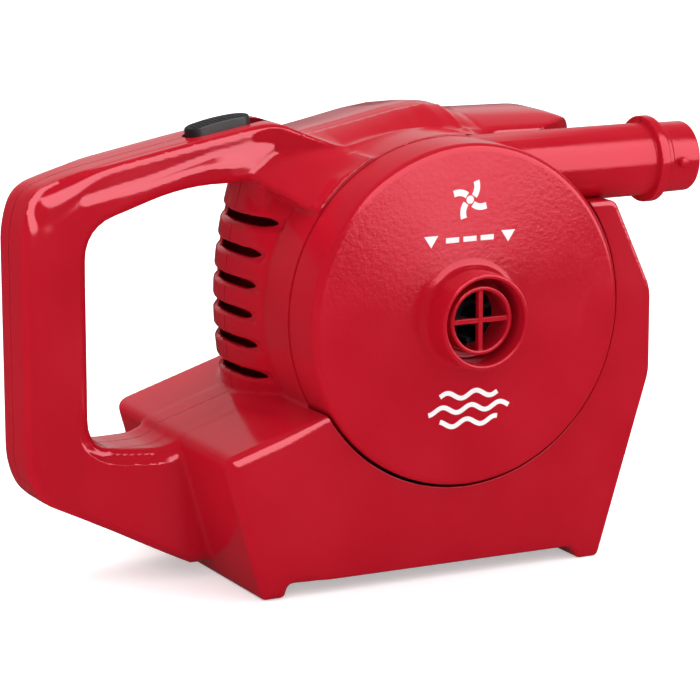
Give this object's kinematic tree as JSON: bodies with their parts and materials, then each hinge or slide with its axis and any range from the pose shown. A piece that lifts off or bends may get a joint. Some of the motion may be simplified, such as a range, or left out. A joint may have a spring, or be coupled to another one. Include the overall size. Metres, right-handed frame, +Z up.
{
  "type": "air mattress pump",
  "caption": "Handheld rechargeable air pump: two-part case with a loop handle, round fan cover with an inlet collar, side nozzle, fan and motor, slide switch and battery.",
  "frame": {"origin": "centre of the bottom of the bounding box, on the surface the base rails stand on", "axes": "+Z up, +X along the length from the handle towards the nozzle, -Y out of the face with the fan cover and inlet collar"},
  "size_m": [0.3196, 0.1536, 0.2114],
  "materials": {
    "red_abs": "glossy injection-moulded",
    "black_plastic": "matte moulded",
    "black_rubber": "matte, ridged",
    "impeller_plastic": "satin moulded",
    "plated_steel": "zinc plated",
    "shaft_steel": "ground",
    "sintered_bronze": "oil-filled sintered",
    "lamination_and_winding": "varnished",
    "copper": "machined",
    "battery_case": "moulded",
    "terminal_brass": "stamped",
    "white_nylon": "moulded",
    "board": "solder mask",
    "wire_black": "insulation",
    "wire_red": "insulation"
  },
  "bodies": {
    "case": {"front_housing": "red_abs", "rear_housing": "red_abs", "fan_cover": "red_abs", "scroll_back": "red_abs", "motor_can": "plated_steel", "motor_end_cap": "black_plastic", "motor_front_bush": "sintered_bronze", "motor_rear_bush": "sintered_bronze", "motor_screw_left": "plated_steel", "motor_screw_right": "plated_steel", "battery": "battery_case", "battery_terminal_front": "terminal_brass", "battery_terminal_back": "terminal_brass", "switch_body": "black_plastic", "charge_socket": "black_plastic", "charge_board": "board", "battery_to_switch_wire": "wire_black", "switch_to_motor_wire": "wire_red", "case_screw_1": "plated_steel", "case_screw_2": "plated_steel", "case_screw_3": "plated_steel", "case_screw_4": "plated_steel", "case_screw_5": "plated_steel", "case_screw_6": "plated_steel", "cover_screw_1": "plated_steel", "cover_screw_2": "plated_steel", "cover_screw_3": "plated_steel"},
    "rotor": {"impeller": "impeller_plastic", "motor_shaft": "shaft_steel", "armature": "lamination_and_winding", "commutator": "copper"},
    "slider": {"switch_button": "black_rubber", "switch_slider": "white_nylon"}
  },
  "joints": [
    {"name": "fan_spin", "type": "hinge", "parent": "case", "child": "rotor", "pos_m": [0.03116, -0.01515, 0.1235], "axis": [0, 1, 0], "continuous": true},
    {"name": "switch_slide", "type": "slide", "parent": "case", "child": "slider", "axis": [0.9856, 0, 0.1693], "range_m": [0, 0.006]}
  ]
}
